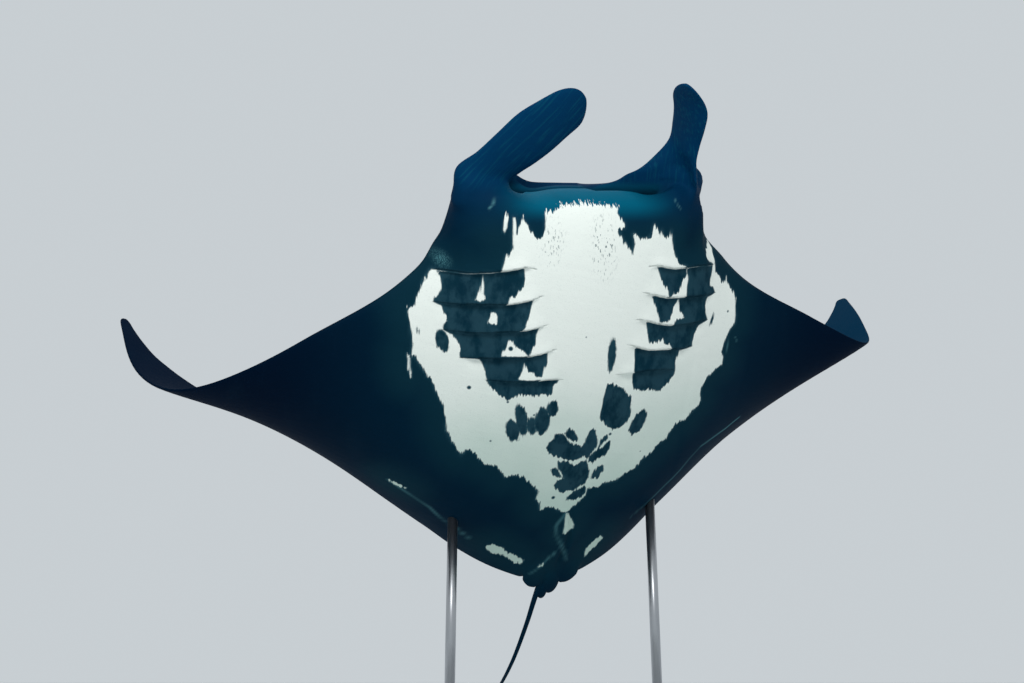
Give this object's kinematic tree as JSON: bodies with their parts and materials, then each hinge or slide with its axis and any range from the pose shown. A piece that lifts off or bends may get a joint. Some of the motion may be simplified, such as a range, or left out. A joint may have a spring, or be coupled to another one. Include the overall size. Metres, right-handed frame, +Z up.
{
  "type": "manta ray",
  "caption": "Life-size still model of an oceanic manta ray, nose up and banking, wings curled at the tips and head fins spread, on a plain flat base with upright rods.",
  "frame": {"origin": "centre of the underside of the stand's base, on the floor", "axes": "+Z up. -Y faces the viewer, to whom the animal shows its belly with its head up. +X is the viewer's right, the side of the animal's left wing. Metres."},
  "size_m": [3.9672, 2.4614, 2.7916],
  "materials": {
    "hide": "matt ray hide, blue-black, with a marked white belly on the trunk",
    "eye": "wet, glossy dark brown",
    "stand_paint": "satin pale grey paint",
    "stand_steel": "brushed"
  },
  "bodies": {
    "root": {"head": "hide", "lower_jaw": "hide", "eye_left": "eye", "eye_right": "eye", "cephalic_fin_left": "hide", "cephalic_fin_right": "hide", "trunk": "hide", "pectoral_left_inner": "hide", "pectoral_left_outer": "hide", "pectoral_left_tip": "hide", "pectoral_right_inner": "hide", "pectoral_right_outer": "hide", "pectoral_right_tip": "hide", "pelvic_fin_left": "hide", "pelvic_fin_right": "hide", "dorsal_fin": "hide", "tail_base": "hide", "tail_middle": "hide", "tail_whip": "hide", "stand_base": "stand_paint", "stand_collar_left": "stand_steel", "stand_collar_right": "stand_steel", "stand_rod_left": "stand_steel", "stand_rod_right": "stand_steel"}
  },
  "joints": []
}
